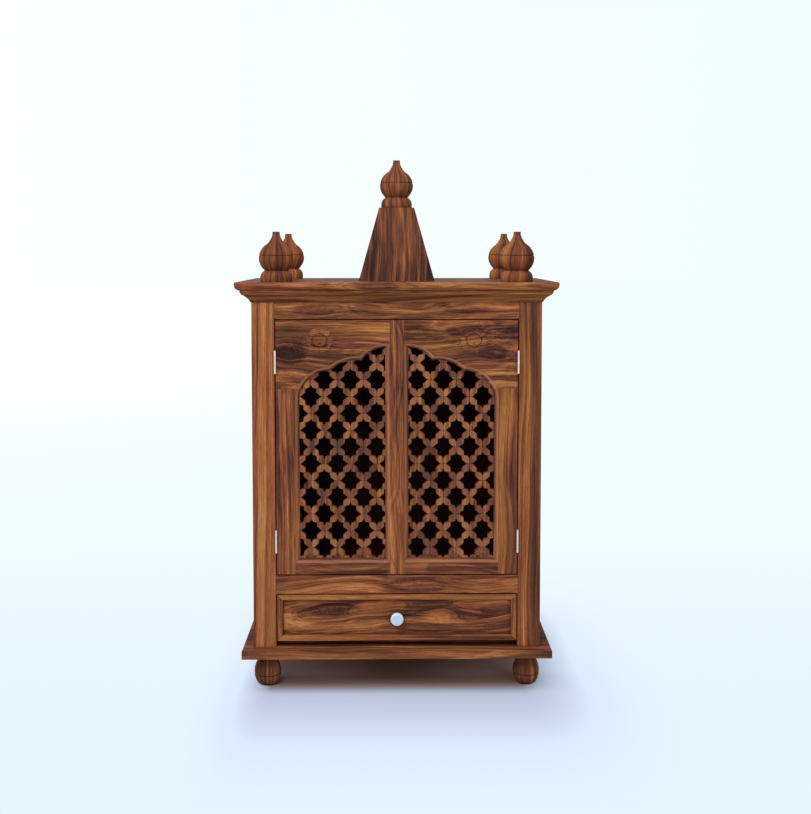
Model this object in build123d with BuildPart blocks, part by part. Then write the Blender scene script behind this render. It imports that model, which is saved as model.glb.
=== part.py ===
from build123d import *
import os

# A wooden temple cabinet for the home, in millimetres.
# It stands on Z = 0 and faces -Y. The origin is on the floor, under the middle of its outline.

# Case
body_width = 553
body_depth = 330
post_width = 43.5
post_depth = 43.5
foot_height = 64
plinth_thickness = 16.5
plinth_overhang = 21.3
plinth_round = 3
bottom_rail_height = 10.3
bottom_rail_setback = 20
mid_rail_height = 35.7
frieze_height = 32.1
rail_thickness = 22
mid_rail_depth = 43
side_rail_height = 60
side_setback = 3
side_panel_thickness = 12
back_setback = 4
back_panel_thickness = 8
floor_thickness = 12
cleat_size = 15
edge_ease = 0.7

# Top
top_board_thickness = 19
top_overhang = 28.5
top_fillet_overhang = 19.4
top_fillet_height = 3.5
top_nose_height = 5.3
top_ovolo_bulge = 2.6
moulding_height = 19.4
moulding_ovolo_height = 6
moulding_ovolo_overhang = 18.6
moulding_step_overhang = 13
moulding_cove_overhang = 12.2
moulding_foot_overhang = 1.2
moulding_step_height = 1
moulding_ovolo_bulge = 1.2
moulding_cove_bulge = 1.5
spire_base = 149
spire_top = 69.9
spire_height = 145
spire_wall = 14

# Turned finials, as radius and height above the seat
finial_height = 95.8
finial_base_radius = 30.6
finial_bowl = (28.7, 15.4)
finial_base_height = 21.5
finial_waist_radius = 22.3
finial_flank = (30, 31.5)
finial_belly_radius = 33.3
finial_belly_height = 44.5
finial_slope = ((29.7, 59.5), (23.7, 67.7), (14.2, 75.8), (9.3, 84))
finial_neck_radius = 7
finial_side_inset = 44.8
finial_front_inset = 35
finial_back_inset = 36.5

# Turned feet, as radius and height above the floor
foot_sole_radius = 15.5
foot_heel = ((20.8, 5), (23.8, 12))
foot_ball_radius = 25.7
foot_ball_height = 26
foot_shoulder = ((24.3, 36), (20.3, 46))
foot_neck_radius = 17
foot_neck_height = 58
foot_side_inset = 23.5
foot_front_inset = 28
foot_back_inset = 28
groove_width = 1.6
groove_depth = 1
foot_groove_height = 21
finial_groove_height = 50.5

# Doors
door_height = 490.7
door_thickness = 20
outer_stile_flat = 35.8
inner_stile_flat = 13.2
door_rail_flat = 22
arch_crown = 52.1
arch_rise = 93.8
bevel_width = 8.4
bevel_depth = 8
meeting_bevel = 1
# Lobes of the half arch: share of the opening's width, share of the rise, and bulge of the arc
arch_lobes = ((0.358, 0.52, 14.3), (0.725, 0.73, 7.8), (1, 1, 6.5))
arch_joint_lift = 14.8

# Pierced lattice
lattice_setback = 9
lattice_thickness = 8
lattice_lap = 7
lattice_rim = 3
star_pitch = 50.4
star_row_pitch = 32.5
star_first_across = 16.8
star_first_up = 20.4
star_half_width = 20.2
star_half_height = 22.7
star_notch = (11, 7.6)
star_corner = (10.6, 15.3)
star_shoulder = (8, 16.4)
star_waist = (3, 17.6)

# Hinges
hinge_height = 44
hinge_lower = 42.6
hinge_upper_gap = 58
hinge_barrel_radius = 2
hinge_pin_radius = 1
hinge_leaf_thickness = 0.8
hinge_leaf_depth = 18

# Drawer
drawer_front_height = 90.5
drawer_front_thickness = 18
drawer_strip_width = 10.5
drawer_panel_setback = 7
drawer_end_gap = 21
drawer_wall = 12
drawer_groove_depth = 5
drawer_side_height = 68
drawer_bottom_thickness = 6
drawer_bottom_lift = 4
runner_width = 24
runner_height = 14
knob_radius = 12.5
knob_neck_radius = 6.5
knob_reach = 22
knob_disc_thickness = 7
knob_rim = 3

# Clearances
joint_gap = 2
meeting_gap = 0.8
slide_gap = 0.3
pin_gap = 0.1
knuckle_gap = 0.4

# Planes and levels worked out from the sizes above
front_y = top_overhang - (body_depth + top_overhang) / 2
back_y = front_y + body_depth
case_x = body_width / 2
bay_x = case_x - post_width
case_z = foot_height + plinth_thickness
drawer_z = case_z + bottom_rail_height + joint_gap
mid_rail_z = drawer_z + drawer_front_height + joint_gap
floor_z = mid_rail_z + mid_rail_height
door_z = floor_z + joint_gap
frieze_z = door_z + door_height + joint_gap
moulding_z = frieze_z + frieze_height
case_top = moulding_z + moulding_height
cornice_top = case_top + top_board_thickness
post_inner_front = front_y + post_depth
post_inner_back = back_y - post_depth
panel_x = case_x - 2 * side_setback
panel_inner_x = panel_x - side_panel_thickness
back_panel_y = back_y - 2 * back_setback
back_inner_y = back_panel_y - back_panel_thickness
door_outer = bay_x - joint_gap
door_inner = meeting_gap / 2
front = Plane.XZ.offset(-front_y)
os.makedirs("parts", exist_ok=True)


def board(x, y, z, grain=None):
    """A board between pairs of limits, with its edges eased along the grain where one is given."""
    with BuildPart(Plane.XY.offset(z[0])) as piece:
        with Locations(((x[0] + x[1]) / 2, (y[0] + y[1]) / 2)):
            Box(x[1] - x[0], y[1] - y[0], z[1] - z[0], align=(Align.CENTER, Align.CENTER, Align.MIN))
        if grain:
            chamfer(piece.edges().filter_by(grain), edge_ease)
    return piece.part


def save(piece, name):
    """Label a finished piece and write its file."""
    piece.part.label = name
    export_step(piece.part, f"parts/{name}.step")


# Plinth board, with its upper front and side edges rounded
with BuildPart() as plinth_board:
    with BuildSketch(Plane.XY.offset(foot_height)):
        with Locations((0, back_y)):
            Rectangle(
                body_width + 2 * plinth_overhang,
                body_depth + plinth_overhang,
                align=(Align.CENTER, Align.MAX),
            )
    extrude(amount=plinth_thickness)
    rim = plinth_board.faces().sort_by(Axis.Z)[-1].edges().sort_by(Axis.Y)[:-1]
    fillet(rim, plinth_round)
save(plinth_board, "plinth_board")


def groove(radius, height):
    """Section of a turned V groove on a round of the given radius, as a face in the XZ plane."""
    with BuildSketch(Plane.XZ) as section:
        with BuildLine():
            Polyline(
                (radius - groove_depth, height),
                (radius + groove_depth, height - groove_width),
                (radius + groove_depth, height + groove_width),
                close=True,
            )
        make_face()
    return section.sketch


# Turned ball foot
with BuildPart() as foot:
    with BuildSketch(Plane.XZ):
        with BuildLine():
            Polyline((0, foot_height), (0, 0), (foot_sole_radius, 0))
            ball = (foot_ball_radius, foot_ball_height)
            neck = (foot_neck_radius, foot_neck_height)
            Spline((foot_sole_radius, 0), *foot_heel, ball, tangents=((1, 0.7), (0, 1)))
            Spline(ball, *foot_shoulder, neck, tangents=((0, 1), (0, 1)))
            Polyline(neck, (foot_neck_radius, foot_height), (0, foot_height))
        make_face()
    revolve(axis=Axis.Z)
    add(groove(foot_ball_radius - groove_depth, foot_groove_height))
    revolve(axis=Axis.Z, mode=Mode.SUBTRACT)

foot_x = case_x - foot_side_inset
foot_front_y = front_y + foot_front_inset
foot_back_y = back_y - foot_back_inset
with BuildPart() as feet:
    with Locations(*[(side * foot_x, y) for side in (-1, 1) for y in (foot_front_y, foot_back_y)]):
        add(foot.part)
save(feet, "feet")

# Four posts
post_spans = {"front": (front_y, post_inner_front), "back": (post_inner_back, back_y)}
for end, y_span in post_spans.items():
    for side, x_span in {"left": (-case_x, -bay_x), "right": (bay_x, case_x)}.items():
        with BuildPart() as post:
            add(board(x_span, y_span, (case_z, case_top), Axis.Z))
        save(post, f"post_{end}_{side}")

# Front rails between the posts
bay = (-bay_x, bay_x)
bottom_rail_y = front_y + bottom_rail_setback
with BuildPart() as bottom_rail:
    y_span = (bottom_rail_y, bottom_rail_y + rail_thickness)
    add(board(bay, y_span, (case_z, case_z + bottom_rail_height), Axis.X))
save(bottom_rail, "bottom_rail")

with BuildPart() as mid_rail:
    add(board(bay, (front_y, front_y + mid_rail_depth), (mid_rail_z, floor_z), Axis.X))
save(mid_rail, "mid_rail")

with BuildPart() as frieze_rail:
    add(board(bay, (front_y, front_y + rail_thickness), (frieze_z, case_top), Axis.X))
save(frieze_rail, "frieze_rail")

# Side and back frames, each with a thinner panel between its rails
low_rail = (case_z, case_z + side_rail_height)
high_rail = (case_top - side_rail_height, case_top)
panel_z = (low_rail[1], high_rail[0])
with BuildPart() as side_rails:
    for z_span in (low_rail, high_rail):
        x_span = (case_x - side_setback - rail_thickness, case_x - side_setback)
        add(board(x_span, (post_inner_front, post_inner_back), z_span, Axis.Y))
    mirror(about=Plane.YZ)
save(side_rails, "side_rails")

with BuildPart() as side_panels:
    add(board((panel_inner_x, panel_x), (post_inner_front, post_inner_back), panel_z))
    mirror(about=Plane.YZ)
save(side_panels, "side_panels")

back_rail_y = back_y - back_setback - rail_thickness
with BuildPart() as back_rails:
    for z_span in (low_rail, high_rail):
        add(board(bay, (back_rail_y, back_rail_y + rail_thickness), z_span, Axis.X))
save(back_rails, "back_rails")

with BuildPart() as back_panel:
    add(board(bay, (back_inner_y, back_panel_y), panel_z))
save(back_panel, "back_panel")

# Shrine floor, notched round the posts, on the middle rail and two cleats
door_stop_y = front_y + door_thickness + joint_gap
with BuildPart() as shrine_floor:
    with BuildSketch(Plane.XY.offset(floor_z)):
        with Locations((0, door_stop_y)):
            Rectangle(2 * bay_x, back_inner_y - door_stop_y, align=(Align.CENTER, Align.MIN))
        with Locations((0, post_inner_front)):
            Rectangle(2 * panel_inner_x, post_inner_back - post_inner_front, align=(Align.CENTER, Align.MIN))
    extrude(amount=floor_thickness)
save(shrine_floor, "shrine_floor")

with BuildPart() as floor_cleats:
    x_span = (panel_inner_x - cleat_size, panel_inner_x)
    add(board(x_span, (post_inner_front, post_inner_back), (floor_z - cleat_size, floor_z), Axis.Y))
    mirror(about=Plane.YZ)
save(floor_cleats, "floor_cleats")

drawer_side_z = drawer_z + joint_gap
runner_top = drawer_side_z - slide_gap
with BuildPart() as drawer_runners:
    y_span = (bottom_rail_y + rail_thickness, back_rail_y)
    add(board((bay_x - runner_width, bay_x), y_span, (runner_top - runner_height, runner_top), Axis.Y))
    mirror(about=Plane.YZ)
save(drawer_runners, "drawer_runners")

# Sections of the cornice: local X runs out from the case, and local Y runs up
with BuildSketch() as top_edge_section:
    with BuildLine():
        nose_bottom = top_board_thickness - top_nose_height
        Polyline(
            (top_overhang, nose_bottom),
            (top_overhang, top_board_thickness),
            (0, top_board_thickness),
            (0, 0),
            (top_fillet_overhang, 0),
            (top_fillet_overhang, top_fillet_height),
        )
        SagittaArc((top_fillet_overhang, top_fillet_height), (top_overhang, nose_bottom), -top_ovolo_bulge)
    make_face()
    chamfer(top_edge_section.vertices().sort_by(lambda v: v.X + v.Y)[-1], edge_ease)

with BuildSketch() as moulding_section:
    with BuildLine():
        cove_top = moulding_height - moulding_ovolo_height - moulding_step_height
        Polyline(
            (moulding_ovolo_overhang, moulding_height),
            (0, moulding_height),
            (0, 0),
            (moulding_foot_overhang, 0),
        )
        SagittaArc((moulding_foot_overhang, 0), (moulding_cove_overhang, cove_top), moulding_cove_bulge)
        step_top = cove_top + moulding_step_height
        Polyline(
            (moulding_cove_overhang, cove_top),
            (moulding_cove_overhang, step_top),
            (moulding_step_overhang, step_top),
        )
        SagittaArc(
            (moulding_step_overhang, step_top),
            (moulding_ovolo_overhang, moulding_height),
            -moulding_ovolo_bulge,
        )
    make_face()


def front_stick(section, z):
    """A moulding along the front of the case, mitred at both corners."""
    reach = case_x + top_overhang
    with BuildPart() as stick:
        with BuildSketch(Plane(origin=(0, front_y, z), x_dir=(0, -1, 0), z_dir=(-1, 0, 0))):
            add(section)
        extrude(amount=reach, both=True)
        with BuildSketch(Plane.XY.offset(z)):
            with BuildLine():
                Polyline(
                    (-case_x, front_y),
                    (-reach, front_y - top_overhang),
                    (reach, front_y - top_overhang),
                    (case_x, front_y),
                    close=True,
                )
            make_face()
        extrude(amount=top_overhang, mode=Mode.INTERSECT)
    return stick.part


def side_stick(section, z):
    """A moulding along the right side of the case, mitred at the front."""
    reach = case_x + top_overhang
    with BuildPart() as stick:
        with BuildSketch(Plane(origin=(case_x, back_y, z), x_dir=(1, 0, 0), z_dir=(0, -1, 0))):
            add(section)
        extrude(amount=body_depth + top_overhang)
        with BuildSketch(Plane.XY.offset(z)):
            with BuildLine():
                Polyline(
                    (case_x, front_y),
                    (reach, front_y - top_overhang),
                    (reach, back_y),
                    (case_x, back_y),
                    close=True,
                )
            make_face()
        extrude(amount=top_overhang, mode=Mode.INTERSECT)
    return stick.part


# Cornice moulding in three mitred lengths
with BuildPart() as cornice_front:
    add(front_stick(moulding_section.sketch, moulding_z))
save(cornice_front, "cornice_front")

with BuildPart() as cornice_right:
    add(side_stick(moulding_section.sketch, moulding_z))
save(cornice_right, "cornice_right")

with BuildPart() as cornice_left:
    mirror(cornice_right.part, about=Plane.YZ)
save(cornice_left, "cornice_left")

# Top board with the same run of moulded edge
with BuildPart() as top_board:
    add(board((-case_x, case_x), (front_y, back_y), (case_top, cornice_top)))
    add(front_stick(top_edge_section.sketch, case_top))
    add(side_stick(top_edge_section.sketch, case_top))
    mirror(side_stick(top_edge_section.sketch, case_top), about=Plane.YZ)
save(top_board, "top_board")

# Hollow spire: four mitred boards and a cap
with BuildPart() as spire_core:
    with BuildSketch(Plane.XY.offset(cornice_top)):
        Rectangle(spire_base - 2 * spire_wall, spire_base - 2 * spire_wall)
    with BuildSketch(Plane.XY.offset(cornice_top + spire_height)):
        Rectangle(spire_top - 2 * spire_wall, spire_top - 2 * spire_wall)
    loft()

with BuildPart() as spire_shell:
    with BuildSketch(Plane.XY.offset(cornice_top)):
        Rectangle(spire_base, spire_base)
    with BuildSketch(Plane.XY.offset(cornice_top + spire_height)):
        Rectangle(spire_top, spire_top)
    loft()
    add(spire_core.part, mode=Mode.SUBTRACT)

for name, turn in {"spire_front_back": 0, "spire_sides": 90}.items():
    with BuildPart() as boards:
        add(spire_shell.part)
        with BuildSketch(Plane.XY.offset(cornice_top).rotated((0, 0, turn))):
            with BuildLine():
                Polyline((0, 0), (-spire_base, spire_base), (spire_base, spire_base), close=True)
            make_face()
            mirror(about=Plane.XZ)
        extrude(amount=spire_height, mode=Mode.INTERSECT)
    save(boards, name)

with BuildPart() as spire_cap:
    add(spire_core.part)
    split(bisect_by=Plane.XY.offset(cornice_top + spire_height - spire_wall), keep=Keep.TOP)
save(spire_cap, "spire_cap")

# Turned finial, with its seat at the origin
with BuildPart() as finial:
    with BuildSketch(Plane.XZ):
        with BuildLine():
            Polyline((finial_neck_radius, finial_height), (0, finial_height), (0, 0), (finial_base_radius, 0))
            waist = (finial_waist_radius, finial_base_height)
            Spline((finial_base_radius, 0), finial_bowl, waist, tangents=((0.1, 1), (-1, 0.7)))
            belly = (finial_belly_radius, finial_belly_height)
            Spline(waist, finial_flank, belly, tangents=((1, 0.9), (0, 1)))
            Spline(belly, *finial_slope, (finial_neck_radius, finial_height), tangents=((0, 1), (0, 1)))
        make_face()
    revolve(axis=Axis.Z)
    add(groove(finial_belly_radius - groove_depth, finial_groove_height))
    revolve(axis=Axis.Z, mode=Mode.SUBTRACT)

with BuildPart() as spire_finial:
    with Locations((0, 0, cornice_top + spire_height)):
        add(finial.part)
save(spire_finial, "spire_finial")

finial_x = case_x - finial_side_inset
finial_front_y = front_y + finial_front_inset
finial_back_y = back_y - finial_back_inset
corners = [(side * finial_x, y, cornice_top) for side in (-1, 1) for y in (finial_front_y, finial_back_y)]
with BuildPart() as corner_finials:
    with Locations(*corners):
        add(finial.part)
save(corner_finials, "corner_finials")

# Opening of the right door, with half of a cusped arch at its top
open_inner = door_inner + inner_stile_flat + bevel_width
open_outer = door_outer - outer_stile_flat - bevel_width
open_bottom = door_z + door_rail_flat + bevel_width
spring_z = door_z + door_height - arch_crown - arch_rise
with BuildSketch() as opening:
    with BuildLine():
        Polyline(
            (open_inner, spring_z + arch_rise),
            (open_inner, open_bottom),
            (open_outer, open_bottom),
            (open_outer, spring_z),
        )
        start = (open_outer, spring_z)
        for across, up, bulge in arch_lobes:
            end = (open_outer - across * (open_outer - open_inner), spring_z + up * arch_rise)
            SagittaArc(start, end, -bulge)
            start = end
    make_face()

with BuildSketch() as bevel_edge:
    add(opening.sketch)
    offset(amount=bevel_width, kind=Kind.INTERSECTION, mode=Mode.REPLACE)

# Whole frame of the right door in one blank, which is then cut along its joints
door_top = door_z + door_height
with BuildPart() as door_blank:
    with BuildSketch(front):
        with Locations((door_inner, door_z)):
            Rectangle(door_outer - door_inner, door_height, align=(Align.MIN, Align.MIN))
    extrude(amount=-door_thickness)
    chamfer(door_blank.faces().sort_by(Axis.Y)[0].edges().sort_by(Axis.X)[1:], edge_ease)
    with BuildSketch(front):
        add(opening.sketch)
    extrude(amount=-door_thickness, mode=Mode.SUBTRACT)
    with BuildSketch(front):
        add(bevel_edge.sketch)
    with BuildSketch(front.offset(-bevel_depth)):
        add(opening.sketch)
    loft(ruled=True, mode=Mode.SUBTRACT)
    # Rebate for the lattice
    with BuildSketch(front.offset(-lattice_setback)):
        with Locations((open_inner - lattice_lap, open_bottom - lattice_lap)):
            Rectangle(
                open_outer - open_inner + 2 * lattice_lap,
                spring_z + arch_rise - open_bottom + 2 * lattice_lap,
                align=(Align.MIN, Align.MIN),
            )
    extrude(amount=-door_thickness, mode=Mode.SUBTRACT)
    # Meeting edge, cut back towards the rear so that each door swings past the other
    with BuildSketch(Plane.XY.offset(door_z)):
        with BuildLine():
            Polyline(
                (door_inner, front_y),
                (door_inner, front_y + door_thickness),
                (door_inner + meeting_bevel, front_y + door_thickness),
                close=True,
            )
        make_face()
    extrude(amount=door_height, mode=Mode.SUBTRACT)

flat_inner = open_inner - bevel_width
flat_outer = open_outer + bevel_width
flat_bottom = open_bottom - bevel_width
open_middle = (open_inner + open_outer) / 2
rail_z = spring_z + arch_joint_lift
bevel_top = bevel_edge.vertices().group_by(Axis.X)[0].sort_by(Axis.Y)[-1].Y
joints = {
    "inner_stile": [
        (door_inner, door_z),
        (flat_inner, door_z),
        (flat_inner, flat_bottom),
        (open_inner, open_bottom),
        (open_inner, spring_z + arch_rise),
        (flat_inner, bevel_top),
        (flat_inner, door_top),
        (door_inner, door_top),
    ],
    "outer_stile": [
        (door_outer, door_z),
        (door_outer, rail_z),
        (open_middle, rail_z),
        (open_outer, open_bottom),
        (flat_outer, flat_bottom),
        (flat_outer, door_z),
    ],
    "bottom_rail": [
        (flat_inner, door_z),
        (flat_outer, door_z),
        (flat_outer, flat_bottom),
        (open_outer, open_bottom),
        (open_inner, open_bottom),
        (flat_inner, flat_bottom),
    ],
    "top_rail": [
        (flat_inner, door_top),
        (flat_inner, bevel_top),
        (open_inner, spring_z + arch_rise),
        (open_inner, rail_z),
        (door_outer, rail_z),
        (door_outer, door_top),
    ],
}


def save_both(piece, name):
    """Save a piece of the right door, and its mirror image for the left door."""
    save(piece, f"right_door_{name}")
    with BuildPart() as mirrored:
        mirror(piece.part, about=Plane.YZ)
    save(mirrored, f"left_door_{name}")


for name, corners in joints.items():
    with BuildPart() as frame_piece:
        add(door_blank.part)
        with BuildSketch(front):
            with BuildLine():
                Polyline(*corners, close=True)
            make_face()
        extrude(amount=-door_thickness, mode=Mode.INTERSECT)
    save_both(frame_piece, name)

# Pierced lattice: rows of eight-pointed stars, each row half a pitch across from the last
with BuildSketch() as star:
    with BuildLine():
        Polyline(
            (0, 0),
            (star_half_width, 0),
            star_notch,
            star_corner,
            star_shoulder,
            star_waist,
            (0, star_half_height),
            close=True,
        )
    make_face()
    mirror(about=Plane.YZ)
    mirror(about=Plane.XZ)

window_width = open_outer - open_inner + 2 * lattice_rim
window_height = spring_z + arch_rise - open_bottom + 2 * lattice_rim
star_columns = int(window_width // star_pitch) + 3
star_rows = int(window_height // star_row_pitch) + 2
with BuildSketch() as stars:
    for row in range(star_rows):
        row_z = open_bottom + star_first_up + row * star_row_pitch
        row_x = open_inner + star_first_across - (1 + row % 2 / 2) * star_pitch
        with Locations(*[(row_x + column * star_pitch, row_z) for column in range(star_columns)]):
            add(star.sketch)
    with Locations((open_inner - lattice_rim, open_bottom - lattice_rim)):
        Rectangle(window_width, window_height, align=(Align.MIN, Align.MIN), mode=Mode.INTERSECT)

with BuildPart() as lattice:
    with BuildSketch(front.offset(-lattice_setback)):
        with Locations((open_inner - lattice_lap, open_bottom - lattice_lap)):
            Rectangle(
                open_outer - open_inner + 2 * lattice_lap,
                spring_z + arch_rise - open_bottom + 2 * lattice_lap,
                align=(Align.MIN, Align.MIN),
            )
        add(stars.sketch, mode=Mode.SUBTRACT)
    extrude(amount=-lattice_thickness)
save_both(lattice, "lattice")

# Butt hinges: two knuckles on the post's leaf, and one on the door's leaf, which carries the pin
hinge_x = bay_x - joint_gap / 2
hinge_y = front_y - hinge_barrel_radius
knuckle_height = (hinge_height - 2 * knuckle_gap) / 3
knuckle_steps = [step * (knuckle_height + knuckle_gap) for step in range(3)]
hinge_feet = (door_z + hinge_lower, door_top - hinge_upper_gap - hinge_height)


def hinge_leaf(leaf_x, base_z, steps):
    """A leaf with knuckles at the given heights above its foot."""
    leaf_back = front_y + hinge_leaf_depth
    with BuildPart() as leaf:
        add(board(leaf_x, (front_y + knuckle_gap, leaf_back), (base_z, base_z + hinge_height)))
        for step in steps:
            knuckle_z = base_z + step
            add(board(leaf_x, (hinge_y, leaf_back), (knuckle_z, knuckle_z + knuckle_height)))
            with Locations((hinge_x, hinge_y, knuckle_z)):
                Cylinder(hinge_barrel_radius, knuckle_height, align=(Align.CENTER, Align.CENTER, Align.MIN))
    return leaf.part


with BuildPart() as post_leaves:
    for base_z in hinge_feet:
        add(hinge_leaf((bay_x - hinge_leaf_thickness, bay_x), base_z, knuckle_steps[::2]))
        with Locations((hinge_x, hinge_y, base_z)):
            Cylinder(
                hinge_pin_radius + pin_gap,
                hinge_height,
                align=(Align.CENTER, Align.CENTER, Align.MIN),
                mode=Mode.SUBTRACT,
            )
    mirror(about=Plane.YZ)
save(post_leaves, "post_hinge_leaves")

with BuildPart() as door_leaves:
    for base_z in hinge_feet:
        leaf_x = (door_outer, door_outer + hinge_leaf_thickness)
        add(hinge_leaf(leaf_x, base_z, knuckle_steps[1:2]))
        with Locations((hinge_x, hinge_y, base_z)):
            Cylinder(hinge_pin_radius, hinge_height, align=(Align.CENTER, Align.CENTER, Align.MIN))
save_both(door_leaves, "hinge_leaves")

# Drawer front: a sunk panel inside mitred edge strips
drawer_x = bay_x - joint_gap
drawer_top = drawer_z + drawer_front_height
panel_half = drawer_x - drawer_strip_width
panel_bottom = drawer_z + drawer_strip_width
panel_top = drawer_top - drawer_strip_width
drawer_back_y = front_y + drawer_front_thickness
drawer_panel_y = front_y + drawer_panel_setback
with BuildPart() as drawer_panel:
    add(board((-panel_half, panel_half), (drawer_panel_y, drawer_back_y), (panel_bottom, panel_top)))
save(drawer_panel, "drawer_panel")

strip_corners = {
    "drawer_long_strips": [
        [(-drawer_x, drawer_z), (drawer_x, drawer_z), (panel_half, panel_bottom), (-panel_half, panel_bottom)],
        [(-drawer_x, drawer_top), (drawer_x, drawer_top), (panel_half, panel_top), (-panel_half, panel_top)],
    ],
    "drawer_short_strips": [
        [(side * drawer_x, drawer_z), (side * drawer_x, drawer_top)]
        + [(side * panel_half, panel_top), (side * panel_half, panel_bottom)]
        for side in (-1, 1)
    ],
}
with BuildPart() as strip_blank:
    with BuildSketch(front):
        with Locations((0, drawer_z)):
            Rectangle(2 * drawer_x, drawer_front_height, align=(Align.CENTER, Align.MIN))
        with Locations((0, panel_bottom)):
            Rectangle(
                2 * panel_half,
                panel_top - panel_bottom,
                align=(Align.CENTER, Align.MIN),
                mode=Mode.SUBTRACT,
            )
    extrude(amount=-drawer_front_thickness)
    chamfer(strip_blank.faces().sort_by(Axis.Y)[0].edges(), edge_ease)

for name, outlines in strip_corners.items():
    with BuildPart() as strips:
        add(strip_blank.part)
        with BuildSketch(front):
            for corners in outlines:
                with BuildLine():
                    Polyline(*corners, close=True)
                make_face()
        extrude(amount=-drawer_front_thickness, mode=Mode.INTERSECT)
    save(strips, name)

# Drawer box, with its bottom held in grooves in the sides
side_inner = drawer_x - drawer_wall
drawer_end_y = back_rail_y - drawer_end_gap
drawer_floor_z = drawer_side_z + drawer_bottom_lift
drawer_floor_top = drawer_floor_z + drawer_bottom_thickness
with BuildPart() as drawer_sides:
    side_z = (drawer_side_z, drawer_side_z + drawer_side_height)
    add(board((side_inner, drawer_x), (drawer_back_y, drawer_end_y), side_z))
    groove_x = (side_inner, side_inner + drawer_groove_depth)
    groove_z = (drawer_floor_z - slide_gap, drawer_floor_top + slide_gap)
    add(board(groove_x, (drawer_back_y, drawer_end_y), groove_z), mode=Mode.SUBTRACT)
    mirror(about=Plane.YZ)
save(drawer_sides, "drawer_sides")

with BuildPart() as drawer_bottom:
    reach = side_inner + drawer_groove_depth - slide_gap
    add(board((-reach, reach), (drawer_back_y, drawer_end_y), (drawer_floor_z, drawer_floor_top)))
save(drawer_bottom, "drawer_bottom")

with BuildPart() as drawer_back:
    back_z = (drawer_floor_top, side_z[1])
    add(board((-side_inner, side_inner), (drawer_end_y - drawer_wall, drawer_end_y), back_z))
save(drawer_back, "drawer_back")

# Round ceramic knob: local Y points out of the drawer front
knob_z = drawer_z + drawer_front_height / 2
knob_plane = Plane(origin=(0, drawer_panel_y, knob_z), x_dir=(1, 0, 0), z_dir=(0, 0, -1))
with BuildPart() as drawer_knob:
    with BuildSketch(knob_plane):
        with BuildLine():
            disc_back = knob_reach - knob_disc_thickness
            Polyline((0, knob_reach), (0, 0), (knob_neck_radius, 0))
            rim_bottom = (knob_radius, knob_reach - knob_rim)
            rim_top = (knob_radius - knob_rim, knob_reach)
            Spline((knob_neck_radius, 0), (knob_radius, disc_back), tangents=((-0.3, 1), (0.6, 1)))
            Line((knob_radius, disc_back), rim_bottom)
            TangentArc(rim_bottom, rim_top, tangent=(0, 1))
            Line(rim_top, (0, knob_reach))
        make_face()
    revolve(axis=Axis((0, drawer_panel_y, knob_z), (0, 1, 0)))
save(drawer_knob, "drawer_knob")
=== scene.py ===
"""Looks of a rosewood temple cabinet for the home: grain, carving, metal, ceramic and studio."""
import itertools
import math
import random

import bpy
from mathutils import Euler, Matrix, Vector


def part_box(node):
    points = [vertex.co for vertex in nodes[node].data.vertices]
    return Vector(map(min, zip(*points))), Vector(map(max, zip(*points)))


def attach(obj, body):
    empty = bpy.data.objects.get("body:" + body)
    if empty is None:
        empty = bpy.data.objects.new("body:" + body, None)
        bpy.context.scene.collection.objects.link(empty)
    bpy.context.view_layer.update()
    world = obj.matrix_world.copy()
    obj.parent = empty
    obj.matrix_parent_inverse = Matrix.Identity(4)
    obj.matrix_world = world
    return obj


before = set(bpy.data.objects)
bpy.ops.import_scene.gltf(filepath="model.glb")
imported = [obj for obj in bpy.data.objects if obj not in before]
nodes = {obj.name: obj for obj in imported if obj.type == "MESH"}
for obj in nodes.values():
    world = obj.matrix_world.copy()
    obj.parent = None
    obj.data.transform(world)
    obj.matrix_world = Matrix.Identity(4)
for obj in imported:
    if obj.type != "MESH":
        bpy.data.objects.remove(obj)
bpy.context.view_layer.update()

MM = 0.001

# The photograph's camera
LENS = 50.0
SENSOR_WIDTH = 36.0
CAMERA_PLACE = (-0.00926, -2.29564, 0.84385)
CAMERA_PITCH = math.radians(3.54)
CAMERA_YAW = math.radians(0.685)
CAMERA_SHIFT_Y = -0.105

# Sizes of the cabinet that the carving follows, in millimetres
FRONT_Y = -150.75
LATTICE_DEPTH = 9.0
OPEN_INNER, OPEN_OUTER = 22.0, 186.8
OPEN_BOTTOM, SPRING, ARCH_RISE = 253.4, 567.8, 93.8
STAR_PITCH, ROW_PITCH = 50.4, 32.5
FIRST_CROSSING = (38.8, 241.3)
FLOWER_CENTRE = (147.0, 676.0)
KNOB_Z = 138.05

# Ends of the arch's lobes, as shares of its half width and rise, with the bulge of each
ARCH_LOBES = ((0.358, 0.52, 14.3), (0.725, 0.73, 7.8), (1.0, 1.0, 6.5))

# The inner chamber, whose faces get a dark painted shade, in millimetres
CHAMBER_HALF_WIDTH = 259.2
CHAMBER_DEPTH = (-130.0, 163.8)
CHAMBER_HEIGHT = (220.0, 768.0)
CHAMBER_SHADE_EDGE = 0.4

# Depths behind the front where the painted highlight on the rim of a door's bevel starts, is full, fades and
# ends
RIM_HIGHLIGHT_DEPTHS = (0.3, 1.2, 3.5, 6.0)

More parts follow.
